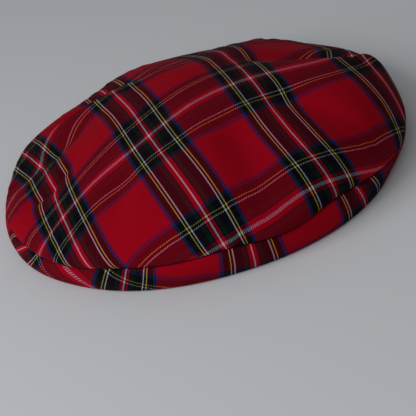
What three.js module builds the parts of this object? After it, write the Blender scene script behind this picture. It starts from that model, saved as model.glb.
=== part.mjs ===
// A soft tartan tam o shanter, resting by itself on a flat surface.
// A slack round crown is sewn to an upright side band. The band turns under at its lower edge,
// where a flat ring goes in to the head opening, and a narrow band lines that opening.
// Millimetres, +Z up, front towards -Y. The origin is on the floor under the middle of the rim.

import * as THREE from 'three';

// Driving dimensions
const SEAM_RADIUS = 139;          // rim of the hat at the crown seam
const SEAM_HEIGHT = 20;           // crown seam above the floor, at the front and back
const CROWN_RISE = 46;            // top of the crown above its seam
const PEAK_RIGHT = 4;             // the crown stands highest a little right of the middle
const PEAK_FORWARD = 8;           // and a little forward of it
const CLOTH = 2;                  // wall of crown, side band and under ring
const TURN_INSET = 5;             // the lower edge lies this much inside the seam
const TURN_ROUND = 3.5;           // rounding of that lower edge
const BAND_SWELL = 1.5;           // how far the side band stands out between seam and edge
const TURN_UNDER = 9;             // flat width of side band turned under the hat
const OPENING_LENGTH = 196;       // head opening, front to back
const OPENING_WIDTH = 164;        // head opening, side to side
const RING_FLAT = 0.2;            // share of the under ring's width that lies flat at its outer edge
const RING_LIFT = 4;              // the under ring rises this much towards the opening
const HEAD_BAND_HEIGHT = 20;
const HEAD_BAND_WALL = 2;
const CLEARANCE = 0.3;            // gap between pieces that are sewn together
const FLOOR_CLEARANCE = 1;        // the head band hangs just clear of the surface

// How finely the soft surfaces are divided
const ROUND_STEPS = 84;
const CROWN_STEPS = 20;
const RING_STEPS = 5;
const RING_CROWDING = 0.9;        // below 1 the crown's rings stand closer together at the seam
const NORMAL_SHARE = 0.012;       // distance over which the crown's slope is read, outwards
const NORMAL_TURN = 0.03;         // and round the hat, in radians

const CLOTH_RED = 0x8c1420;
const CLOTH_DARK = 0x53141f;

// Crown, seen from its peak. shoulder is the share of the rise that is kept nearly to the seam.
// rounding shapes the rest: near 0 a straight slope with a small round tip, above 1 a dome.
const SHOULDER_SQUARENESS = 8;
const CROWN_SECTIONS = [
  { towards: 'left', degrees: -180, shoulder: 0.06, rounding: 0.45 },
  { towards: 'front left', degrees: -135, shoulder: 0.26, rounding: 0.45 },
  { towards: 'front', degrees: -90, shoulder: 0.62, rounding: 0.8 },
  { towards: 'front right', degrees: -45, shoulder: 0.66, rounding: 0.6 },
  { towards: 'right', degrees: 0, shoulder: 0.62, rounding: 0.6 },
  { towards: 'back right', degrees: 45, shoulder: 0.08, rounding: 0.5 },
  { towards: 'back', degrees: 90, shoulder: 0.03, rounding: 0.35 },
  { towards: 'back left', degrees: 135, shoulder: 0.0, rounding: 0.3 },
];

// Folds of the slack crown, each along a line given by its two ends. Ends and half widths are
// shares of the seam radius: right and back of the middle, near on the front side of the line
// and far on the back side. height is a share of the crown's rise, below 0 for a hollow.
const FOLD_FADE = 6;              // the folds die out into the seam, the later the higher this is
const FOLDS = [
  { name: 'cross ridge', right0: 0.92, back0: 0.00, right1: 0.30, back1: 0.02,
    near: 0.11, far: 0.05, height: 0.09 },
  { name: 'cross hollow', right0: 0.86, back0: 0.15, right1: 0.40, back1: 0.18,
    near: 0.07, far: 0.12, height: -0.12 },
  { name: 'left pinch', right0: -0.74, back0: 0.35, right1: -0.24, back1: 0.27,
    near: 0.11, far: 0.06, height: 0.10 },
  { name: 'left pinch hollow', right0: -0.70, back0: 0.47, right1: -0.24, back1: 0.42,
    near: 0.07, far: 0.12, height: -0.12 },
  { name: 'left crease', right0: -0.86, back0: -0.18, right1: -0.56, back1: -0.12,
    near: 0.07, far: 0.06, height: -0.10 },
  { name: 'left shelf', right0: -0.92, back0: -0.42, right1: -0.66, back1: -0.36,
    near: 0.11, far: 0.08, height: 0.10 },
  { name: 'front left trough', right0: -0.50, back0: -0.86, right1: -0.34, back1: -0.50,
    near: 0.10, far: 0.10, height: -0.09 },
  { name: 'front trough', right0: 0.20, back0: -0.94, right1: 0.22, back1: -0.56,
    near: 0.10, far: 0.10, height: -0.09 },
  { name: 'right trough', right0: 0.70, back0: -0.66, right1: 0.44, back1: -0.40,
    near: 0.10, far: 0.10, height: -0.09 },
];

// The rim is neither quite round nor level: how far it reaches out, as a share of the seam
// radius, and how high the seam lies, as a share of the seam height.
const RIM_SHAPE = [
  { towards: 'left', degrees: -180, reach: 0.97, level: 0.62 },
  { towards: 'front left', degrees: -135, reach: 0.995, level: 0.82 },
  { towards: 'front', degrees: -90, reach: 1.0, level: 0.98 },
  { towards: 'front right', degrees: -45, reach: 1.0, level: 0.82 },
  { towards: 'right', degrees: 0, reach: 0.97, level: 0.72 },
  { towards: 'back right', degrees: 45, reach: 1.0, level: 0.78 },
  { towards: 'back', degrees: 90, reach: 1.0, level: 0.94 },
  { towards: 'back left', degrees: 135, reach: 0.995, level: 0.88 },
];

const FULL_TURN = 360;
const QUARTER_TURN = FULL_TURN / 4;
const DEGREE = Math.PI / 180;

// Reads one column of a table of directions, blended smoothly from row to row.
function byDirection(table, column, radians) {
  const gap = FULL_TURN / table.length;
  const turned = (radians / DEGREE - table[0].degrees + 2 * FULL_TURN) % FULL_TURN;
  const row = Math.floor(turned / gap) % table.length;
  const part = (turned - row * gap) / gap;
  const blend = part * part * (3 - 2 * part);
  const next = table[(row + 1) % table.length];
  return table[row][column] * (1 - blend) + next[column] * blend;
}

function seamRadius(radians) {
  return SEAM_RADIUS * byDirection(RIM_SHAPE, 'reach', radians);
}

function seamHeight(radians) {
  return SEAM_HEIGHT * byDirection(RIM_SHAPE, 'level', radians);
}

function turnRadius(radians) {
  return seamRadius(radians) - TURN_INSET;
}

function polar(radius, radians, height) {
  return new THREE.Vector3(radius * Math.cos(radians), radius * Math.sin(radians), height);
}

// Height that one fold adds at a point of the plan.
function foldHeight(fold, x, y) {
  const x0 = fold.right0 * SEAM_RADIUS;
  const y0 = fold.back0 * SEAM_RADIUS;
  const alongX = fold.right1 * SEAM_RADIUS - x0;
  const alongY = fold.back1 * SEAM_RADIUS - y0;
  const length = Math.hypot(alongX, alongY);
  const along = ((x - x0) * alongX + (y - y0) * alongY) / (length * length);
  const held = Math.min(1, Math.max(0, along));
  const offX = x - x0 - held * alongX;
  const offY = y - y0 - held * alongY;
  const off = Math.hypot(offX, offY);
  if (off === 0) {
    return fold.height * CROWN_RISE;
  }
  const farness = (1 + offY / off) / 2;
  const width = SEAM_RADIUS * (fold.near * (1 - farness) + fold.far * farness);
  return fold.height * CROWN_RISE * Math.exp(-((off / width) ** 2));
}

// Share of the rise that is left at a share of the way from peak to seam.
function crownProfile(share, shoulder, rounding) {
  const square = Math.sqrt(Math.max(0, 1 - share ** SHOULDER_SQUARENESS));
  const foot = Math.hypot(1, rounding);
  const slope = (foot - Math.hypot(share, rounding)) / (foot - rounding);
  return shoulder * square + (1 - shoulder) * slope;
}

// A point of the crown's outer face: share runs from the peak, 0, to the seam, 1.
function crownPoint(share, radians) {
  const peak = new THREE.Vector3(PEAK_RIGHT, -PEAK_FORWARD, 0);
  const seam = polar(seamRadius(radians), radians, 0);
  const plan = peak.clone().lerp(seam, share);
  const facing = Math.atan2(seam.y - peak.y, seam.x - peak.x);
  const shoulder = byDirection(CROWN_SECTIONS, 'shoulder', facing);
  const rounding = byDirection(CROWN_SECTIONS, 'rounding', facing);
  const seamLevel = seamHeight(radians);
  const rise = SEAM_HEIGHT + CROWN_RISE - seamLevel;
  let height = rise * crownProfile(share, shoulder, rounding);
  const fade = 1 - share ** FOLD_FADE;
  for (const fold of FOLDS) {
    height += fade * foldHeight(fold, plan.x, plan.y);
  }
  plan.z = seamLevel + CLEARANCE / 2 + Math.max(0, height);
  return plan;
}

// Outward direction of the crown's face at a point, from its neighbours.
function crownNormal(share, radians) {
  const low = Math.max(0, share - NORMAL_SHARE);
  const high = Math.min(1, share + NORMAL_SHARE);
  const outward = crownPoint(high, radians).sub(crownPoint(low, radians));
  const before = crownPoint(share, radians - NORMAL_TURN);
  const round = crownPoint(share, radians + NORMAL_TURN).sub(before);
  return outward.cross(round).normalize();
}

// The crown's inner face, a cloth's thickness in, and never below the edge that is sewn.
function crownInside(point, share, radians) {
  const edge = seamHeight(radians) + CLEARANCE / 2;
  if (share >= 1) {
    return polar(seamRadius(radians) - CLOTH, radians, edge);
  }
  const inside = point.clone().addScaledVector(crownNormal(share, radians), -CLOTH);
  inside.z = Math.max(inside.z, edge);
  return inside;
}

// Collects points and triangles, and gives them back as one closed body.
class Skin {
  constructor() {
    this.points = [];
    this.faces = [];
  }

  add(point) {
    this.points.push(point.x, point.y, point.z);
    return this.points.length / 3 - 1;
  }

  triangle(a, b, c) {
    this.faces.push(a, b, c);
  }

  quad(a, b, c, d) {
    this.triangle(a, b, c);
    this.triangle(a, c, d);
  }

  geometry() {
    const geometry = new THREE.BufferGeometry();
    geometry.setAttribute('position', new THREE.Float32BufferAttribute(this.points, 3));
    geometry.setIndex(this.faces);
    geometry.computeVertexNormals();
    return geometry;
  }
}

// A closed section carried round the hat: section(radians) gives its points in order,
// going up on the outside, over the top and down on the inside.
function carriedRound(section) {
  const skin = new Skin();
  const rings = [];
  for (let i = 0; i < ROUND_STEPS; i += 1) {
    const radians = (i / ROUND_STEPS) * FULL_TURN * DEGREE;
    rings.push(section(radians).map((point) => skin.add(point)));
  }
  for (let i = 0; i < ROUND_STEPS; i += 1) {
    const here = rings[i];
    const next = rings[(i + 1) % ROUND_STEPS];
    for (let j = 0; j < here.length; j += 1) {
      const k = (j + 1) % here.length;
      skin.quad(here[j], next[j], next[k], here[k]);
    }
  }
  return skin.geometry();
}

// One slack panel: outer and inner face from the peak to the seam, joined along the sewn edge.
function crownTop() {
  const skin = new Skin();
  const peak = crownPoint(0, 0);
  const outerPeak = skin.add(peak);
  const innerPeak = skin.add(peak.clone().setZ(peak.z - CLOTH));
  const outer = [];
  const inner = [];
  for (let j = 1; j <= CROWN_STEPS; j += 1) {
    const share = Math.sin((j / CROWN_STEPS) * QUARTER_TURN * DEGREE) ** RING_CROWDING;
    const outerRing = [];
    const innerRing = [];
    for (let i = 0; i < ROUND_STEPS; i += 1) {
      const radians = (i / ROUND_STEPS) * FULL_TURN * DEGREE;
      const point = crownPoint(share, radians);
      outerRing.push(skin.add(point));
      innerRing.push(skin.add(crownInside(point, share, radians)));
    }
    outer.push(outerRing);
    inner.push(innerRing);
  }
  const edge = CROWN_STEPS - 1;
  for (let i = 0; i < ROUND_STEPS; i += 1) {
    const k = (i + 1) % ROUND_STEPS;
    skin.triangle(outerPeak, outer[0][i], outer[0][k]);
    skin.triangle(innerPeak, inner[0][k], inner[0][i]);
    for (let j = 1; j < CROWN_STEPS; j += 1) {
      skin.quad(outer[j - 1][i], outer[j][i], outer[j][k], outer[j - 1][k]);
      skin.quad(inner[j - 1][k], inner[j][k], inner[j][i], inner[j - 1][i]);
    }
    skin.quad(outer[edge][i], inner[edge][i], inner[edge][k], outer[edge][k]);
  }
  return skin.geometry();
}

// The side band's section: up its outer face to the seam, over and down its inner face,
// and in along the part that is turned under.
function sideBandSection(radians) {
  const seam = seamRadius(radians);
  const turn = turnRadius(radians);
  const top = seamHeight(radians) - CLEARANCE / 2;
  const middle = (TURN_ROUND + top) / 2;
  const swell = (seam + turn + TURN_ROUND) / 2 + BAND_SWELL;
  const inside = turn - TURN_UNDER;
  const corner = TURN_ROUND * Math.SQRT1_2;
  return [
    polar(inside, radians, 0),
    polar(turn, radians, 0),
    polar(turn + corner, radians, TURN_ROUND - corner),
    polar(turn + TURN_ROUND, radians, TURN_ROUND),
    polar(swell, radians, middle),
    polar(seam, radians, top),
    polar(seam - CLOTH, radians, top),
    polar(swell - CLOTH, radians, middle),
    polar(turn + TURN_ROUND - CLOTH, radians, TURN_ROUND),
    polar(turn, radians, CLOTH),
    polar(inside, radians, CLOTH),
  ];
}

function openingRadius(radians) {
  const across = Math.cos(radians) / (OPENING_WIDTH / 2);
  const along = Math.sin(radians) / (OPENING_LENGTH / 2);
  return 1 / Math.hypot(across, along);
}

// The under ring's section: flat beside the band's turned edge, then rising to the opening.
function underRingSection(radians) {
  const outer = turnRadius(radians) - TURN_UNDER - CLEARANCE;
  const inner = openingRadius(radians);
  const below = [];
  const above = [];
  for (let j = 0; j <= RING_STEPS; j += 1) {
    const share = j / RING_STEPS;
    const rise = Math.max(0, share - RING_FLAT) / (1 - RING_FLAT);
    const radius = outer + (inner - outer) * share;
    const lift = RING_LIFT * rise * rise;
    below.push(polar(radius, radians, lift));
    above.push(polar(radius, radians, lift + CLOTH));
  }
  return [...below.reverse(), ...above];
}

function headBandSection(radians) {
  const outer = openingRadius(radians) - CLEARANCE;
  const inner = outer - HEAD_BAND_WALL;
  const top = FLOOR_CLEARANCE + HEAD_BAND_HEIGHT;
  return [
    polar(inner, radians, FLOOR_CLEARANCE),
    polar(outer, radians, FLOOR_CLEARANCE),
    polar(outer, radians, top),
    polar(inner, radians, top),
  ];
}

function piece(name, geometry, color) {
  const cloth = new THREE.MeshStandardMaterial({ color, roughness: 0.92, metalness: 0 });
  const mesh = new THREE.Mesh(geometry, cloth);
  mesh.name = name;
  return mesh;
}

const tam = new THREE.Group();
tam.name = 'tam_o_shanter';
tam.add(piece('crown_top', crownTop(), CLOTH_RED));
tam.add(piece('side_band', carriedRound(sideBandSection), CLOTH_RED));
tam.add(piece('under_ring', carriedRound(underRingSection), CLOTH_RED));
tam.add(piece('head_band', carriedRound(headBandSection), CLOTH_DARK));

export default tam;
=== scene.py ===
import math

import bmesh
import bpy
import numpy as np
from mathutils import Matrix, Vector
from mathutils.bvhtree import BVHTree
from mathutils.interpolate import poly_3d_calc


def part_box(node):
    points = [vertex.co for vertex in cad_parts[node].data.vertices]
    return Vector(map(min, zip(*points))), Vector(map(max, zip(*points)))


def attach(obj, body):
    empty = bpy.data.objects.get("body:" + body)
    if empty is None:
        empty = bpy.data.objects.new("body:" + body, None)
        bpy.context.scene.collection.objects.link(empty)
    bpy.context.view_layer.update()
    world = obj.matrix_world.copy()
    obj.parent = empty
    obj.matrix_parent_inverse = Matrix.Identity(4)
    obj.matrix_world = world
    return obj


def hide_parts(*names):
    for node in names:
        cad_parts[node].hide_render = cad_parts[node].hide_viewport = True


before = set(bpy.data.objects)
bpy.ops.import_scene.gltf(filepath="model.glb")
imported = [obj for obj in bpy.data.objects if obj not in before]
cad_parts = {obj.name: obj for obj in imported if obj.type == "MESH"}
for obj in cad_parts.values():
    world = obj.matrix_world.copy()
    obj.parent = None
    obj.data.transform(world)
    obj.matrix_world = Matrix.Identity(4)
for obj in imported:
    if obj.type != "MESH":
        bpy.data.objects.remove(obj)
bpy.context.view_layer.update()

# Table, light and camera, in metres. The table is a wide pale sheet. Soft light comes from above,
# from the left and from the front. The camera looks down at the front of the hat, rolled so that
# the hat's right side stands higher in the picture.
TABLE_HALF = 3.0
TABLE_COLOUR = (0.70, 0.71, 0.74, 1.0)
TABLE_ROUGHNESS = 0.8
SKY_COLOUR = (0.95, 0.97, 1.0, 1.0)
SKY_STRENGTH = 0.22
PICTURE_PIXELS = 416       # the picture is square
FOCAL_PIXELS = 1497.0
HAT_MIDDLE_PIXEL = (205.8, 166.2)  # where the middle of the hat's lower edge is seen
CAMERA_DISTANCE = 1.0
CAMERA_ELEVATION = math.radians(29.05)
CAMERA_ROLL = math.radians(17.0)
SENSOR = 36.0              # width of the camera's film, in mm

look = Vector((0.0, math.cos(CAMERA_ELEVATION), -math.sin(CAMERA_ELEVATION)))
level_right = Vector((1.0, 0.0, 0.0))
level_up = Vector((0.0, math.sin(CAMERA_ELEVATION), math.cos(CAMERA_ELEVATION)))
picture_right = math.cos(CAMERA_ROLL) * level_right - math.sin(CAMERA_ROLL) * level_up
picture_up = math.sin(CAMERA_ROLL) * level_right + math.cos(CAMERA_ROLL) * level_up
camera_place = -CAMERA_DISTANCE * look


def sight_line(pixel_x, pixel_y):
    """Direction from the camera through a pixel of the picture."""
    across = (pixel_x - HAT_MIDDLE_PIXEL[0]) / FOCAL_PIXELS
    down = (pixel_y - HAT_MIDDLE_PIXEL[1]) / FOCAL_PIXELS
    return (look + across * picture_right - down * picture_up).normalized()


def add_camera():
    data = bpy.data.cameras.new("camera")
    data.sensor_width = SENSOR
    data.lens = FOCAL_PIXELS * SENSOR / PICTURE_PIXELS
    camera = bpy.data.objects.new("camera", data)
    bpy.context.scene.collection.objects.link(camera)
    forward = sight_line(PICTURE_PIXELS / 2, PICTURE_PIXELS / 2)
    right = (picture_right - picture_right.dot(forward) * forward).normalized()
    up = right.cross(forward)
    turn = Matrix((right, up, -forward)).transposed()
    camera.matrix_world = Matrix.Translation(camera_place) @ turn.to_4x4()
    bpy.context.scene.camera = camera


def add_light(name, place, size, power, colour):
    """A square soft light that points at the hat."""
    data = bpy.data.lights.new(name, "AREA")
    data.size = size
    data.energy = power
    data.color = colour
    light = bpy.data.objects.new(name, data)
    bpy.context.scene.collection.objects.link(light)
    light.location = place
    light.rotation_euler = (-Vector(place)).to_track_quat("-Z", "Y").to_euler()


def add_table():
    mesh = bpy.data.meshes.new("table")
    bm = bmesh.new()
    bmesh.ops.create_grid(bm, x_segments=1, y_segments=1, size=TABLE_HALF)
    bm.to_mesh(mesh)
    bm.free()
    table = bpy.data.objects.new("table", mesh)
    bpy.context.scene.collection.objects.link(table)
    paint = bpy.data.materials.new("pale_table")
    paint.use_nodes = True
    shader = paint.node_tree.nodes["Principled BSDF"]
    shader.inputs["Base Color"].default_value = TABLE_COLOUR
    shader.inputs["Roughness"].default_value = TABLE_ROUGHNESS
    mesh.materials.append(paint)


def add_sky():
    sky = bpy.data.worlds.new("studio")
    sky.use_nodes = True
    background = sky.node_tree.nodes["Background"]
    background.inputs["Color"].default_value = SKY_COLOUR
    background.inputs["Strength"].default_value = SKY_STRENGTH
    bpy.context.scene.world = sky


add_camera()
add_table()
add_light("window", place=(-1.05, -0.50, 0.75), size=0.9, power=9.0, colour=(0.96, 0.98, 1.0))
add_light("room", place=(-0.4, -1.1, 1.1), size=1.4, power=4.5, colour=(1.0, 0.98, 0.96))
add_sky()
bpy.context.scene.view_settings.view_transform = "Standard"


# Tartan cloth for the crown, the side band and the under ring: worsted wool in a 2/2 twill.
MM = 0.001                 # sizes are in millimetres from here on
WARP_REPEAT = 76.0
WEFT_REPEAT = 112.0
WARP_GROUP = 0.52          # share of a repeat that a group of stripes takes
WEFT_GROUP = 0.55
WARP_MIDDLE = 0.021        # half width of a group's white middle line, as a share of half the group
WEFT_MIDDLE = 0.042
THREAD = 0.40              # from one thread to the next
TWILL_REPEAT = 4           # threads after which the twill repeats
TWILL_OVER = 2             # threads of these that lie under the weft
WEFT_SHOWN = 0.50          # share of its own width that a weft thread covers where it lies on top
# Part of each colour is the square root of the warp and weft colours multiplied: a tint from the
# crossing threads, and painted shade where threads of two colours meet.
THREAD_SHADE_AND_TINT = 0.5                # share of each colour that the threads beside it shade and tint
THREAD_RELIEF = 0.35
WOOL_ROUGHNESS = 0.9
WOOL_SHINE = 0.04
WOOL_SHEEN = 0.05
WOOL_SHEEN_ROUGHNESS = 0.5
WOOL_SHEEN_TINT = (0.6, 0.1, 0.14, 1.0)
THREAD_MAP = "threads"
YARN = {
    "red": (0.32, 0.0005, 0.0085, 1.0),
    "black": (0.0020, 0.0024, 0.0034, 1.0),
    "green": (0.0022, 0.011, 0.010, 1.0),
    "blue": (0.007, 0.018, 0.090, 1.0),
    "white": (0.52, 0.52, 0.60, 1.0),
    "yellow": (0.60, 0.50, 0.05, 1.0),
}
# Stripes from the middle line of a group to its edge: each ends at a share of the half group.
STRIPES = (
    ("red", 0.14),
    ("black", 0.175),
    ("green", 0.32),
    ("black", 0.584),
    ("white", 0.616),
    ("black", 0.684),
    ("yellow", 0.714),
    ("black", 0.90),
    ("blue", 1.0),
)


def set_stops(ramp, stops):
    """Hard-edged bands of colour, each from a place of its own to the next one's."""
    ramp.interpolation = "CONSTANT"
    ramp.elements.remove(ramp.elements[1])
    for n, (start, colour) in enumerate(stops):
        stop = ramp.elements[0] if n == 0 else ramp.elements.new(start)
        stop.position = start
        stop.color = colour


class Socket:
    """A value in a material's nodes, with the arithmetic of plain numbers."""

    def __init__(self, tree, output=None):
        self.tree = tree
        self.output = output

    def node(self, kind, settings, inputs):
        """First output of a new node. Its settings are set before its inputs, which are values
        or sockets, by name or number."""
        made = self.tree.nodes.new(kind)
        for name, value in settings.items():
            if name == "stops":
                set_stops(made.color_ramp, value)
            else:
                setattr(made, name, value)
        for key, value in inputs.items():
            if isinstance(value, Socket):
                value.feed(made.inputs[key])
            else:
                made.inputs[key].default_value = value
        return Socket(self.tree, made.outputs[0])

    def other(self, name):
        """Another output of the node that this one belongs to."""
        return Socket(self.tree, self.output.node.outputs[name])

    def feed(self, socket):
        self.tree.links.new(self.output, socket)

    def maths(self, operation, *others):
        return self.node("ShaderNodeMath", {"operation": operation}, dict(enumerate((self, *others))))

    def __add__(self, other):
        return self.maths("ADD", other)

    __radd__ = __add__

    def __sub__(self, other):
        return self.maths("SUBTRACT", other)

    def __rsub__(self, other):
        return (self * -1.0) + other

    def __mul__(self, other):
        return self.maths("MULTIPLY", other)

    __rmul__ = __mul__

    def __lt__(self, other):
        return self.maths("LESS_THAN", other)

    def __gt__(self, other):
        return self.maths("GREATER_THAN", other)

    def whole(self):
        return self.maths("FLOOR")

    def part(self):
        return self.maths("FRACT")

    def left_over(self, step):
        return self.maths("FLOORED_MODULO", step)

    def size(self):
        return self.maths("ABSOLUTE")

    def sine(self):
        return self.maths("SINE")

    def colours(self, blend, share, low, high):
        settings = {"data_type": "RGBA", "blend_type": blend}
        return self.node("ShaderNodeMix", settings, {0: share, 6: low, 7: high}).other(2)

    def mixed(self, low, high):
        """Colour low where this is 0 and high where it is 1."""
        return self.colours("MIX", self, low, high)

    def blended(self, other, share):
        """This colour with a share of another."""
        return self.colours("MIX", share, self, other)

    def multiplied(self, other):
        """This colour times another."""
        return self.colours("MULTIPLY", 1.0, self, other)

    def power(self, exponent):
        """This colour with each of its parts raised to a power."""
        return self.node("ShaderNodeGamma", {}, {"Color": self, "Gamma": exponent})

    def raised(self, strength, depth):
        """This height as a relief of the surface."""
        return self.node("ShaderNodeBump", {}, {"Height": self, "Strength": strength, "Distance": depth})


def new_finish(name):
    """A new material, its shader, and the places across and along the piece's own map."""
    finish = bpy.data.materials.new(name)
    finish.use_nodes = True
    shader = finish.node_tree.nodes["Principled BSDF"]
    start = Socket(finish.node_tree)
    place = start.node("ShaderNodeUVMap", {"uv_map": THREAD_MAP}, {})
    parts = start.node("ShaderNodeSeparateXYZ", {}, {0: place})
    return finish, shader, parts.other("X"), parts.other("Y")


def stripe_colour(along, group_share, middle):
    """Colour of the threads at a place along the chart, counted in repeats."""
    from_middle = ((along + 0.5).part() * 2.0 - 1.0).size()
    stops = []
    start = 0.0
    for yarn, end in (("white", middle), *STRIPES):
        stops.append((start, YARN[yarn]))
        start = end * group_share
    stops.append((start, YARN["red"]))
    return along.node("ShaderNodeValToRGB", {"stops": stops}, {0: from_middle})


def tartan(name):
    """Twill cloth whose threads follow the piece's own map, in repeats of warp and weft."""
    cloth, shader, across, along = new_finish(name)
    warp = stripe_colour(across, WARP_GROUP, WARP_MIDDLE)
    weft = stripe_colour(along, WEFT_GROUP, WEFT_MIDDLE)
    warp_count = across * (WARP_REPEAT / THREAD)
    weft_count = along * (WEFT_REPEAT / THREAD)
    step = (warp_count.whole() + weft_count.whole()).left_over(TWILL_REPEAT)
    from_thread = ((weft_count.part() - 0.5) * 2.0).size()
    weft_on_top = (step > TWILL_REPEAT - TWILL_OVER - 0.5) * (from_thread < WEFT_SHOWN)
    top = weft_on_top.mixed(warp, weft)
    # Painted shade between crossing threads: where warp and weft differ, this is darker than either
    # thread's own colour, and it also tints each thread.
    both = warp.multiplied(weft).power(0.5)
    top.blended(both, THREAD_SHADE_AND_TINT).feed(shader.inputs["Base Color"])
    warp_round = (warp_count * math.pi).sine().size()
    weft_round = (weft_count * math.pi).sine().size()
    relief = (1.0 - weft_on_top) * warp_round + weft_on_top * weft_round
    relief.raised(THREAD_RELIEF, THREAD / 2 * MM).feed(shader.inputs["Normal"])
    shader.inputs["Roughness"].default_value = WOOL_ROUGHNESS
    shader.inputs["Specular IOR Level"].default_value = WOOL_SHINE
    shader.inputs["Sheen Weight"].default_value = WOOL_SHEEN
    shader.inputs["Sheen Roughness"].default_value = WOOL_SHEEN_ROUGHNESS
    shader.inputs["Sheen Tint"].default_value = WOOL_SHEEN_TINT
    return cloth


tartan_cloth = tartan("tartan_cloth")


# Crown: one slack round panel of tartan, cut a little wider than the rim and eased into the seam
# all round, so that it lies in soft folds. It takes the place of the solid crown, and its rim and
# seam follow the box of the solid side band.
BAND_SWELL = 1.5           # how far the band below the seam swells outwards
SEAM_GAP = 0.3             # between two pieces that are sewn together
FRONT_LEVEL = 0.98         # level of the seam at the front, where the solid band stands highest
band_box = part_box("side_band")
RIM = band_box[1].y / MM - BAND_SWELL / 2
SEAM_LEVEL = (band_box[1].z / MM + SEAM_GAP / 2) / FRONT_LEVEL
RISE = 46.0                # from the seam to the peak
PEAK = (4.0, -8.0)         # right and back of the middle of the rim
RINGS = 110
SECTORS = 320
RING_CROWDING = 0.9        # how strongly the rings crowd towards the seam
SQUARENESS = 8             # of the part of the rise that is kept nearly to the seam
FOLD_FADE = 9              # how late the folds fade out towards the seam
CLOTH_WALL = 1.4
SEAM_TUCK = 1.2            # how far both edges turn in at the seam, over a height of SEAM_TURN
SEAM_TURN = 0.7
PUFF_HEIGHT = 5.0          # height over the seam at which the cloth puffs out furthest
PUCKER = 0.2               # height of the small gathers beside the seam, and how far up they reach
PUCKER_REACH = 7.0
PUCKER_COUNTS = (37, 58, 83)
PUCKER_DRIFT = 7           # how often round the seam they grow weak and strong again
TINY = 1e-6                # joins the two ends of a spin, and keeps a distance above zero
# By direction, seen from the peak for the first two: share of the rise kept nearly to the seam
# and roundness of the rest. Then the reach of the rim and the level of the seam, as shares of RIM
# and SEAM_LEVEL, how far the cloth puffs out over the seam, and how far the band's lower edge is
# turned in.
SHOULDER, ROUNDING, REACH, LEVEL, PUFF, TURNED_IN = range(1, 7)
CROWN_DIRECTIONS = (
    # degrees, shoulder, rounding, reach, level, puff, turned in
    (-180, 0.10, 0.47, 0.972, 0.68, 1.0, 2.5),
    (-165, 0.12, 0.47, 0.980, 0.90, 1.4, 1.0),
    (-150, 0.20, 0.46, 0.990, 0.82, 1.5, 1.5),
    (-135, 0.26, 0.45, 0.996, 0.76, 1.6, 3.0),
    (-120, 0.40, 0.58, 1.000, 0.90, 1.2, 3.5),
    (-105, 0.52, 0.70, 1.000, 0.90, 1.0, 4.0),
    (-90, 0.62, 0.80, 1.000, FRONT_LEVEL, 0.8, 4.5),
    (-75, 0.62, 0.75, 1.000, 0.82, 1.9, 3.5),
    (-60, 0.63, 0.66, 1.000, 1.02, 0.8, 3.0),
    (-45, 0.66, 0.60, 0.998, 0.76, 1.2, 4.5),
    (-30, 0.74, 0.60, 0.990, 0.50, 1.6, 7.5),
    (-15, 0.74, 0.60, 0.978, 0.50, 1.5, 6.0),
    (0, 0.62, 0.60, 0.968, 0.66, 0.6, 4.0),
    (15, 0.36, 0.56, 0.975, 0.78, 0.0, 5.0),
    (30, 0.16, 0.53, 0.992, 0.78, 0.1, 5.0),
    (45, 0.06, 0.50, 1.000, 0.78, 0.3, 5.0),
    (60, 0.06, 0.47, 1.000, 0.95, 0.3, 5.0),
    (75, 0.05, 0.43, 1.000, 0.82, 0.3, 5.0),
    (90, 0.03, 0.35, 1.000, 0.92, 0.3, 5.0),
    (105, 0.03, 0.34, 1.000, 1.02, 0.5, 5.0),
    (120, 0.02, 0.32, 1.000, 0.78, 0.6, 5.0),
    (135, 0.01, 0.33, 0.998, 0.80, 0.8, 5.0),
    (150, 0.04, 0.38, 0.990, 0.84, 0.8, 5.0),
    (165, 0.08, 0.44, 0.978, 0.64, 0.8, 5.0),
)
# Folds: a path of (right, back, height), then the half widths on its front and back side, and its
# sharpness, which is 2 for a round fold and near 1 for a pinched one.
FOLDS = (
    ("cross ridge", ((132, -1, 22), (112, -4, 2), (100, -8, 1), (75, -11, 1), (50, 1, 0)), 16, 5, 1.2),
    ("cross hollow", ((122, 22, -7), (92, 14, -7), (58, 24, -5)), 10, 18, 2.0),
    ("left pinch", ((-103, 49, 2), (-69, 52, 4), (-44, 42, 5), (-20, 44, 3)), 15, 9, 1.8),
    ("left hollow", ((-96, 68, -4), (-70, 74, -12), (-34, 58, -5)), 10, 18, 2.0),
    ("left valley", ((-122, 22, -6), (-92, 22, -8), (-66, 26, -4)), 16, 14, 2.0),
    ("left crease", ((-122, -34, -6), (-97, -33, -6), (-78, -18, -3)), 7, 6, 1.3),
    ("left shelf", ((-126, -8, 6), (-124, -30, 6), (-120, -61, 4)), 12, 8, 2.0),
    ("front left trough", ((-70, -120, -4), (-50, -72, -4)), 13, 13, 2.0),
    ("front trough", ((28, -132, -4), (24, -80, -4)), 14, 14, 2.0),
    ("right trough", ((98, -92, -4), (62, -56, -4)), 13, 13, 2.0),
)
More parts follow.
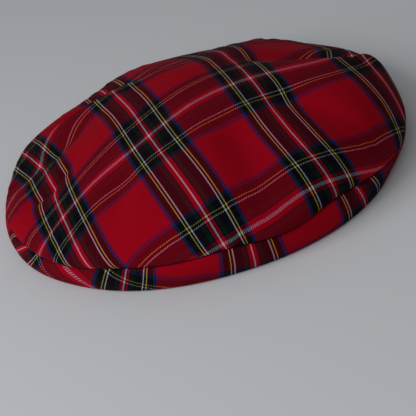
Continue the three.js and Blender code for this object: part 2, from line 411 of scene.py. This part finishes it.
# A group of stripes and a place in it are named for the warp, then for the weft, and then the
# pixel. The places are c for the middle, w for the white line, y for the yellow line and b for
# the blue edge, with L or R for the left or right half of a warp group and U or D for the upper
# or lower half of a weft group.
PLACE_IN_GROUP = {"c": 0.0, "w": 0.595, "y": 0.705, "b": 0.95}
CROWN_CHECKS = (
    # warp group, place, weft group, place, pixel x, pixel y
    (1, "c", 1, "c", 38.7, 164.8),
    (1, "yR", 1, "c", 48.3, 149.7),
    (1, "yL", 1, "c", 28.6, 180.0),
    (1, "bR", 1, "wD", 62.0, 153.3),
    (1, "wL", 1, "wD", 36.3, 187.3),
    (1, "c", 2, "c", 62.3, 217.0),
    (1, "c", 2, "yU", 57.7, 204.7),
    (1, "wL", 2, "yU", 47.5, 218.3),
    (1, "bR", 2, "c", 80.5, 194.5),
    (1, "wL", 2, "c", 53.0, 232.3),
    (1, "bR", 2, "yD", 92.0, 212.5),
    (1, "c", 2, "bD", 73.4, 242.8),
    (1, "bR", 2, "bU", 73.7, 176.5),
    (1, "bL", 2, "bU", 34.2, 219.7),
    (1, "bR", 3, "bU", 125.5, 266.5),
    (2, "c", 2, "c", 149.9, 136.8),
    (2, "yL", 2, "yU", 122.6, 133.6),
    (2, "yR", 2, "yU", 153.8, 107.6),
    (2, "yL", 2, "yD", 143.8, 165.7),
    (2, "yR", 2, "yD", 177.7, 139.4),
    (2, "bR", 2, "bD", 191.6, 142.1),
    (2, "bL", 2, "bD", 141.5, 177.9),
    (2, "bR", 2, "bU", 157.4, 97.3),
    (2, "bL", 1, "bD", 95.5, 112.5),
    (2, "bR", 1, "bD", 142.5, 84.5),
    (2, "c", 3, "c", 223.5, 242.9),
    (2, "c", 3, "yU", 206.5, 215.8),
    (2, "wR", 3, "wU", 225.0, 212.0),
    (2, "yL", 3, "yU", 187.3, 228.5),
    (2, "bR", 3, "c", 248.9, 230.7),
    (2, "bR", 3, "bU", 227.8, 190.5),
    (2, "bL", 3, "bU", 173.3, 225.0),
    (3, "c", 2, "c", 250.8, 79.0),
    (3, "yL", 2, "yU", 218.8, 71.3),
    (3, "yR", 2, "c", 269.0, 72.6),
    (3, "c", 2, "yD", 264.2, 99.8),
    (3, "yL", 2, "yD", 246.5, 104.8),
    (3, "yR", 2, "yD", 283.0, 91.3),
    (3, "bL", 2, "bD", 243.8, 114.4),
    (3, "bR", 2, "bD", 297.0, 97.0),
    (3, "c", 3, "c", 330.0, 180.8),
    (3, "c", 3, "bU", 306.3, 149.0),
    (3, "yL", 3, "yU", 293.7, 163.8),
    (3, "yR", 3, "yU", 331.7, 150.4),
    (3, "bL", 3, "bU", 279.6, 158.6),
    (3, "bR", 3, "bU", 330.7, 142.4),
    (3, "bL", 3, "c", 302.6, 191.8),
    (3, "bR", 3, "c", 358.0, 171.4),
    (3, "yR", 3, "c", 350.0, 176.5),
    (4, "bL", 3, "bU", 385.8, 122.0),
    (4, "c", 2, "c", 352.0, 55.4),
    (4, "bL", 2, "c", 328.7, 59.8),
    (4, "bL", 2, "bD", 350.0, 77.8),
    (4, "c", 2, "yD", 367.8, 64.8),
    (4, "c", 2, "bD", 375.5, 71.0),
    (4, "c", 3, "bU", 404.3, 118.0),
    (4, "yL", 2, "yD", 351.6, 68.4),
    (4, "yL", 3, "bU", 390.5, 119.0),
    (4, "yL", 3, "yU", 398.0, 130.9),
    (4, "bL", 3, "yU", 391.5, 131.8),
)
# How the plain grid of checks is bent towards these: the reach of each bend, and its slack.
CROWN_BENDS = ((80.0, 0.1), (50.0, 0.1))


def by_direction(column, angle):
    """One column of the crown's table at each angle, on a smooth closed curve through the rows."""
    values = np.array([row[column] for row in CROWN_DIRECTIONS])
    turned = np.mod(angle + np.pi, 2 * np.pi) / (2 * np.pi) * len(values)
    row = np.floor(turned).astype(int)
    part = turned - row
    before, here, after, beyond = (values[(row + n) % len(values)] for n in (-1, 0, 1, 2))
    bend = 2 * before - 5 * here + 4 * after - beyond
    twist = 3 * (here - after) + beyond - before
    return here + part * ((after - before) + part * (bend + part * twist)) / 2


def fold_height(path, near, far, sharpness, x, y):
    """Height that one fold adds at places on the plan."""
    off = np.full(x.shape, np.inf)
    width = np.ones(x.shape)
    lift = np.zeros(x.shape)
    for (x0, y0, lift0), (x1, y1, lift1) in zip(path, path[1:]):
        along = ((x - x0) * (x1 - x0) + (y - y0) * (y1 - y0)) / ((x1 - x0) ** 2 + (y1 - y0) ** 2)
        held = np.clip(along, 0, 1)
        off_x = x - x0 - held * (x1 - x0)
        off_y = y - y0 - held * (y1 - y0)
        here = np.hypot(off_x, off_y) + TINY
        farness = (1 + off_y / here) / 2
        nearer = here < off
        width = np.where(nearer, near * (1 - farness) + far * farness, width)
        lift = np.where(nearer, lift0 + (lift1 - lift0) * held, lift)
        off = np.where(nearer, here, off)
    return lift * np.exp(-((off / width) ** sharpness))


def crown_surface(share, angle):
    """Places on the crown's outer face: share runs from the peak, 0, to the seam, 1."""
    reach = RIM * by_direction(REACH, angle)
    seam_x = reach * np.cos(angle)
    seam_y = reach * np.sin(angle)
    x = PEAK[0] + (seam_x - PEAK[0]) * share
    y = PEAK[1] + (seam_y - PEAK[1]) * share
    facing = np.arctan2(seam_y - PEAK[1], seam_x - PEAK[0])
    shoulder = by_direction(SHOULDER, facing)
    rounding = by_direction(ROUNDING, facing)
    level = SEAM_LEVEL * by_direction(LEVEL, angle)
    square = np.sqrt(np.clip(1 - share ** SQUARENESS, 0, None))
    foot = np.hypot(1, rounding)
    slope = (foot - np.hypot(share, rounding)) / (foot - rounding)
    height = (SEAM_LEVEL + RISE - level) * (shoulder * square + (1 - shoulder) * slope)
    fade = 1 - share ** FOLD_FADE
    for name, *fold in FOLDS:
        height = height + fade * fold_height(*fold, x, y)
    height = np.clip(height, 0, None)
    from_seam = (1 - share) * RIM
    near_seam = (from_seam / PUCKER_REACH) * np.exp(1 - from_seam / PUCKER_REACH)
    gathers = sum(np.sin(count * angle + count) for count in PUCKER_COUNTS)
    gathers = gathers * (1 + np.sin(PUCKER_DRIFT * angle))
    height = height + PUCKER * near_seam * gathers * (1 - np.exp(-height / SEAM_TURN))
    puff = by_direction(PUFF, angle) * (height / PUFF_HEIGHT) * np.exp(1 - height / PUFF_HEIGHT)
    outwards = puff - SEAM_TUCK * np.exp(-height / SEAM_TURN)
    x = x + outwards * np.cos(angle)
    y = y + outwards * np.sin(angle)
    return np.stack([x, y, level + height], axis=-1)


def spun(points):
    """A row of points carried once round the upright axis."""
    bm = bmesh.new()
    row = [bm.verts.new(point) for point in points]
    edges = [bm.edges.new(pair) for pair in zip(row, row[1:])]
    bmesh.ops.spin(
        bm,
        geom=row + edges,
        cent=(0, 0, 0),
        axis=(0, 0, 1),
        angle=2 * math.pi,
        steps=SECTORS,
        use_merge=True,
    )
    bmesh.ops.remove_doubles(bm, verts=bm.verts, dist=TINY)
    bm.verts.ensure_lookup_table()
    return bm


def turn_faces(bm, outwards, upwards):
    """Turn all faces to one side of the cloth, given as the share outwards and the share upwards."""
    bmesh.ops.recalc_face_normals(bm, faces=bm.faces)
    facing = 0.0
    for face in bm.faces:
        away = face.calc_center_median().xy.normalized()
        facing += face.normal.xy.dot(away) * outwards + face.normal.z * upwards
    if facing < 0:
        bmesh.ops.reverse_faces(bm, faces=bm.faces)


def new_piece(name, bm):
    mesh = bpy.data.meshes.new(name)
    bm.to_mesh(mesh)
    bm.free()
    piece = bpy.data.objects.new(name, mesh)
    bpy.context.scene.collection.objects.link(piece)
    for face in mesh.polygons:
        face.use_smooth = True
    return piece


def chart_place(group, place, group_share):
    """A place on the chart of stripes, in repeats."""
    side = -1 if place[-1] in "LU" else 1
    return group + side * PLACE_IN_GROUP[place[0]] * group_share / 2


def seen_on_cloth(bm, flat, checks):
    """Flat places of the cloth that the camera sees at the checks' pixels, and their chart
    places. A check is a chart place and a pixel, and one that misses the cloth is left out."""
    tree = BVHTree.FromBMesh(bm)
    bm.faces.ensure_lookup_table()
    places = []
    charts = []
    for chart, pixel in checks:
        hit, normal, index, distance = tree.ray_cast(camera_place, sight_line(*pixel))
        if hit is not None:
            corners = bm.faces[index].verts
            weights = poly_3d_calc([corner.co for corner in corners], hit)
            places.append(sum(weight * flat[corner.index] for weight, corner in zip(weights, corners)))
            charts.append(chart)
    return np.array(places), np.array(charts)


def plain_grid(flat):
    """What a straight grid is fitted from, at flat places."""
    return np.column_stack([np.ones(len(flat)), flat])


def drawn_to_checks(flat, seen_flat, seen_chart, grid_of, bends):
    """Chart places for flat ones: a plain grid, bent so that the seen checks fit. The widest bend
    comes first, and each one takes up what is left."""
    grid, *_ = np.linalg.lstsq(grid_of(seen_flat), seen_chart, rcond=None)
    chart = grid_of(flat) @ grid
    left = seen_chart - grid_of(seen_flat) @ grid
    apart = np.linalg.norm(seen_flat[:, None] - seen_flat[None], axis=-1)
    away = np.linalg.norm(flat[:, None] - seen_flat[None], axis=-1)
    for reach, slack in bends:
        near = np.exp(-((apart / reach) ** 2))
        pull = np.linalg.solve(near + slack * np.eye(len(near)), left)
        chart = chart + np.exp(-((away / reach) ** 2)) @ pull
        left = left - near @ pull
    return chart


def set_threads(bm, chart):
    threads = bm.loops.layers.uv.new(THREAD_MAP)
    for face in bm.faces:
        for loop in face.loops:
            loop[threads].uv = chart[loop.vert.index]


def make_crown():
    shares = np.sin(np.linspace(0, 1, RINGS + 1) * np.pi / 2) ** RING_CROWDING
    angles = np.arange(SECTORS) * 2 * np.pi / SECTORS
    places = crown_surface(shares[:, None], angles[None, :])
    steps = np.linalg.norm(np.diff(places, axis=0), axis=-1)
    run = np.vstack([np.zeros((1, SECTORS)), np.cumsum(steps, axis=0)])
    bm = spun([(share, 0.0, 0.0) for share in shares])
    flat = np.zeros((len(bm.verts), 2))
    for vertex in bm.verts:
        share = math.hypot(vertex.co.x, vertex.co.y)
        angle = math.atan2(vertex.co.y, vertex.co.x)
        ring = int(np.abs(shares - share).argmin())
        sector = round(angle / (2 * math.pi) * SECTORS) % SECTORS
        seam = places[-1, sector]
        facing = math.atan2(seam[1] - PEAK[1], seam[0] - PEAK[0])
        flat[vertex.index] = (run[ring, sector] * math.cos(facing), run[ring, sector] * math.sin(facing))
        vertex.co = Vector(places[ring, sector]) * MM
    turn_faces(bm, outwards=0.0, upwards=1.0)
    checks = []
    for warp, warp_place, weft, weft_place, *pixel in CROWN_CHECKS:
        across = chart_place(warp, warp_place, WARP_GROUP)
        along = chart_place(weft, weft_place, WEFT_GROUP)
        checks.append(((across, along), pixel))
    seen_flat, seen_chart = seen_on_cloth(bm, flat, checks)
    set_threads(bm, drawn_to_checks(flat, seen_flat, seen_chart, plain_grid, CROWN_BENDS))
    return new_piece("crown", bm)


def thicken(piece, wall):
    """Give the cloth its thickness, on its inner side."""
    solid = piece.modifiers.new("wall", "SOLIDIFY")
    solid.thickness = wall * MM
    solid.offset = -1.0


crown = make_crown()
thicken(crown, CLOTH_WALL)
crown.data.materials.append(tartan_cloth)
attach(crown, "root")
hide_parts("crown_top")


# Side band: an upright strip of the same tartan, sewn on below the crown. Its lower edge turns
# under the hat and is sewn to the under ring. The strip was cut in a weak curve, so its checks
# lean where they run towards the sides. It takes the place of the solid side band.
TURN_ROUND = 3.0           # rounding of the lower edge
TURN_UNDER = 9.0           # how far the strip runs in under the hat
UPRIGHT_STEPS = 12
UPRIGHT_CROWDING = 1.5     # how strongly the steps crowd towards the seam
CORNER_STEPS = 6
UNDER_STEPS = 5
# Pixels of the picture on the stripes that run down the band, and on those that run along it.
BAND_UPRIGHTS = (
    # warp group, place, pixel x, pixel y
    (1, "yL", 10.5, 237),
    (1, "yL", 16, 234),
    (1, "wL", 17, 236),
    (1, "c", 17, 252),
    (1, "c", 27, 247),
    (1, "wR", 28.5, 262),
    (1, "wR", 36, 255),
    (1, "yR", 31, 264),
    (1, "yR", 37, 257),
    (2, "bL", 97, 271),
    (2, "bL", 92.5, 287),
    (2, "yL", 106, 272),
    (2, "yL", 101.5, 288),
    (2, "c", 126, 271),
    (2, "c", 122.5, 289),
    (2, "yR", 147, 268),
    (2, "yR", 145, 290),
    (2, "bR", 155, 268),
    (2, "bR", 155, 288),
    (3, "bL", 219, 253.5),
    (3, "bL", 222, 275),
    (3, "yL", 229.5, 250),
    (3, "yL", 232, 274),
    (3, "c", 251, 247),
    (3, "c", 255.5, 265.5),
    (3, "yR", 271, 240),
    (3, "yR", 278.5, 258.5),
    (3, "bR", 279, 236),
    (3, "bR", 286, 252),
    (4, "yL", 342, 198),
    (4, "yL", 349, 214),
    (4, "c", 357, 188),
    (4, "c", 366, 205),
    (4, "yR", 373, 177),
    (4, "yR", 380, 190),
)
BAND_LEVELS = (
    # weft group, place, pixel x, pixel y
    (1, "bU", 125, 271),
    (1, "bU", 149, 276),
    (1, "bU", 167, 280),
    (1, "bU", 194, 277),
    (1, "bU", 221, 274),
    (1, "bU", 299, 249),
    (1, "bU", 326, 235),
    (1, "bU", 347, 218),
    (1, "bU", 355, 210),
    (1, "bU", 364, 201),
    (1, "bU", 371, 189),
    (1, "yU", 111, 272),
    (1, "yU", 125, 278),
    (1, "yU", 140, 283),
    (1, "yU", 155, 286),
    (1, "wU", 112, 275),
    (1, "wU", 125, 283),
    (1, "wU", 140, 288),
    (1, "c", 64, 267),
    (1, "c", 77, 277),
    (1, "c", 90, 287),
    (1, "wD", 40, 260),
    (1, "wD", 53, 278),
    (1, "yD", 38, 260),
    (1, "yD", 47, 275),
    (1, "yU", 398.5, 155.5),
    (1, "yU", 387.5, 177),
)
BAND_BENDS = ((25.0, 0.04),)


def band_section(angle):
    """Points of the band's outer face, from the seam down and in under the hat."""
    rim = RIM * by_direction(REACH, angle)
    level = SEAM_LEVEL * by_direction(LEVEL, angle) - SEAM_GAP
    turn = rim - by_direction(TURNED_IN, angle)
    line = []
    for step in range(UPRIGHT_STEPS):
        part = (step / UPRIGHT_STEPS) ** UPRIGHT_CROWDING
        down = (level - TURN_ROUND) * part
        radius = rim + (turn + TURN_ROUND - rim) * part + BAND_SWELL * 4 * part * (1 - part)
        line.append((radius - SEAM_TUCK * math.exp(-down / SEAM_TURN), level - down))
    for step in range(CORNER_STEPS + 1):
        turned = math.pi / 2 * step / CORNER_STEPS
        line.append((turn + TURN_ROUND * math.cos(turned), TURN_ROUND * (1 - math.sin(turned))))
    for step in range(1, UNDER_STEPS + 1):
        line.append((turn - TURN_UNDER * step / UNDER_STEPS, 0.0))
    return np.array(line)


def along_band(angle):
    """Distance from the front along the seam, negative to the left. The back half is a second
    strip, so there it counts back from the side."""
    turned = (angle + 1.5 * math.pi) % (2 * math.pi) - math.pi
    if abs(turned) > math.pi / 2:
        turned = math.copysign(math.pi - abs(turned), turned)
    return RIM * turned


def down_band(angle):
    """Distance of each point of the band's section from the seam, along the cloth."""
    steps = np.linalg.norm(np.diff(band_section(angle), axis=0), axis=1)
    return np.concatenate([[0.0], np.cumsum(steps)])


def carried_round(section, outwards, upwards):
    """A strip carried round the hat, and the angle and the number in the section of each of its
    points. section(angle) gives radius and height, and the faces look outwards or upwards."""
    bm = spun([(1.0, 0.0, -float(n)) for n in range(len(section(0.0)))])
    marks = []
    sections = {}
    for vertex in bm.verts:
        sector = round(math.atan2(vertex.co.y, vertex.co.x) / (2 * math.pi) * SECTORS)
        angle = sector * 2 * math.pi / SECTORS
        if angle not in sections:
            sections[angle] = section(angle)
        n = round(-vertex.co.z)
        radius, height = sections[angle][n]
        marks.append((angle, n))
        vertex.co = Vector((radius * math.cos(angle), radius * math.sin(angle), height)) * MM
    turn_faces(bm, outwards, upwards)
    return bm, marks


def curved_grid(flat):
    """What a grid that bends along the strip is fitted from, at flat places."""
    return np.column_stack([plain_grid(flat), flat[:, 0] ** 2])


def make_band():
    bm, marks = carried_round(band_section, outwards=1.0, upwards=0.0)
    runs = {angle: down_band(angle) for angle in {angle for angle, n in marks}}
    flat = np.array([(along_band(angle), runs[angle][n]) for angle, n in marks])
    charts = []
    for table, share, grid_of in (
        (BAND_UPRIGHTS, WARP_GROUP, plain_grid),
        (BAND_LEVELS, WEFT_GROUP, curved_grid),
    ):
        checks = [(chart_place(group, place, share), pixel) for group, place, *pixel in table]
        seen_flat, seen_chart = seen_on_cloth(bm, flat, checks)
        charts.append(drawn_to_checks(flat, seen_flat, seen_chart, grid_of, BAND_BENDS))
    set_threads(bm, np.column_stack(charts))
    return new_piece("band", bm)


band = make_band()
thicken(band, CLOTH_WALL)
band.data.materials.append(tartan_cloth)
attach(band, "root")
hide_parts("side_band")


# Under ring: the flat ring of the same tartan under the hat, sewn to the turned edge of the side
# band and to the head band. It rises a little towards the head opening. It takes the place of the
# solid under ring, and the picture doesn't show it.
SOLID_CLOTH = 2.0          # thickness of the solid ring's cloth
RING_FLAT = 0.2            # share of the ring's width that lies flat, beside the turned edge
RING_STEPS = 24
ring_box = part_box("under_ring")
head_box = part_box("head_band")
RING_LIFT = (ring_box[1].z - ring_box[0].z) / MM - SOLID_CLOTH
OPENING_LENGTH = (head_box[1].y - head_box[0].y) / MM + 2 * SEAM_GAP
OPENING_WIDTH = (head_box[1].x - head_box[0].x) / MM + 2 * SEAM_GAP


def opening_radius(angle):
    """Radius of the oval head opening."""
    return 1 / math.hypot(math.cos(angle) / OPENING_WIDTH, math.sin(angle) / OPENING_LENGTH) / 2


def ring_section(angle):
    outer = RIM * by_direction(REACH, angle) - by_direction(TURNED_IN, angle) - TURN_UNDER - SEAM_GAP
    inner = opening_radius(angle)
    line = []
    for step in range(RING_STEPS + 1):
        share = step / RING_STEPS
        rise = max(0.0, share - RING_FLAT) / (1 - RING_FLAT)
        line.append((outer + (inner - outer) * share, RING_LIFT * rise * rise))
    return np.array(line)


def make_ring():
    bm = carried_round(ring_section, outwards=0.0, upwards=-1.0)[0]
    places = [vertex.co / MM for vertex in bm.verts]
    set_threads(bm, [(place.x / WARP_REPEAT, place.y / WEFT_REPEAT) for place in places])
    return new_piece("ring_under_hat", bm)


ring = make_ring()
thicken(ring, CLOTH_WALL)
ring.data.materials.append(tartan_cloth)
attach(ring, "root")
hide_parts("under_ring")


# Head band: a plain dark cotton tape with fine ribs, sewn round the oval head opening, with its
# edges turned over. It takes the place of the solid head band, and the picture doesn't show it.
TAPE_WALL = 1.6
TAPE_HEM = 2.5             # width of the turned edges, which stand a little proud
HEM_PROUD = 0.4
TAPE_STEPS = 30
RIB = 0.9                  # from one rib to the next
RIB_HEIGHT = 0.3
# The next value weighs the ribs against the cross threads in the tape's painted light and shade.
RIB_SHARE_OF_PAINTED_LIGHT = 0.7            # share of the ribs in the colour, beside the threads across them
CROSS_HEIGHT = 0.4         # height of the threads across the ribs, as a share of the ribs'
# The tape's colour between the ribs, darkened as painted shade, and on their crests, lightened as
# painted light.
TAPE_GROOVE_SHADE_COLOUR = (0.012, 0.004, 0.006, 1.0)
TAPE_CREST_LIGHT_COLOUR = (0.022, 0.007, 0.010, 1.0)
TAPE_RELIEF = 0.5
TAPE_ROUGHNESS = 0.85
TAPE_SHINE = 0.15
TAPE_LOW = head_box[0].z / MM
TAPE_HIGH = head_box[1].z / MM
TAPE_GIRTH = math.pi * (OPENING_LENGTH + OPENING_WIDTH) / 2


def tape_section(angle):
    """Points of the tape's inner face, from its lower edge up."""
    line = []
    for step in range(TAPE_STEPS + 1):
        level = TAPE_LOW + (TAPE_HIGH - TAPE_LOW) * step / TAPE_STEPS
        from_edge = min(level - TAPE_LOW, TAPE_HIGH - level)
        hem = HEM_PROUD * min(1.0, max(0.0, (TAPE_HEM - from_edge) / HEM_PROUD))
        line.append((opening_radius(angle) - SEAM_GAP - TAPE_WALL - hem * (from_edge > 0), level))
    return np.array(line)


def ribbed_tape(name):
    """Plain cotton tape whose ribs run round the opening, on the piece's own map in mm."""
    tape, shader, along, across = new_finish(name)
    rib = (across * (math.pi / RIB)).sine().size()
    thread = (along * (math.pi / RIB)).sine().size()
    # Painted light and shade: the colour is lighter where the ribs and cross threads stand high and
    # darker between them, following the relief.
    colour = (rib * RIB_SHARE_OF_PAINTED_LIGHT + thread * (1 - RIB_SHARE_OF_PAINTED_LIGHT)).mixed(TAPE_GROOVE_SHADE_COLOUR, TAPE_CREST_LIGHT_COLOUR)
    colour.feed(shader.inputs["Base Color"])
    relief = rib + thread * CROSS_HEIGHT
    relief.raised(TAPE_RELIEF, RIB_HEIGHT * MM).feed(shader.inputs["Normal"])
    shader.inputs["Roughness"].default_value = TAPE_ROUGHNESS
    shader.inputs["Specular IOR Level"].default_value = TAPE_SHINE
    return tape


def make_tape():
    bm, marks = carried_round(tape_section, outwards=-1.0, upwards=0.0)
    step = (TAPE_HIGH - TAPE_LOW) / TAPE_STEPS
    share_round = TAPE_GIRTH / (2 * math.pi * RIM)
    set_threads(bm, [(along_band(angle) * share_round, n * step) for angle, n in marks])
    return new_piece("head_tape", bm)


head_tape = make_tape()
thicken(head_tape, TAPE_WALL)
head_tape.data.materials.append(ribbed_tape("head_band_tape"))
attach(head_tape, "root")
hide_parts("head_band")
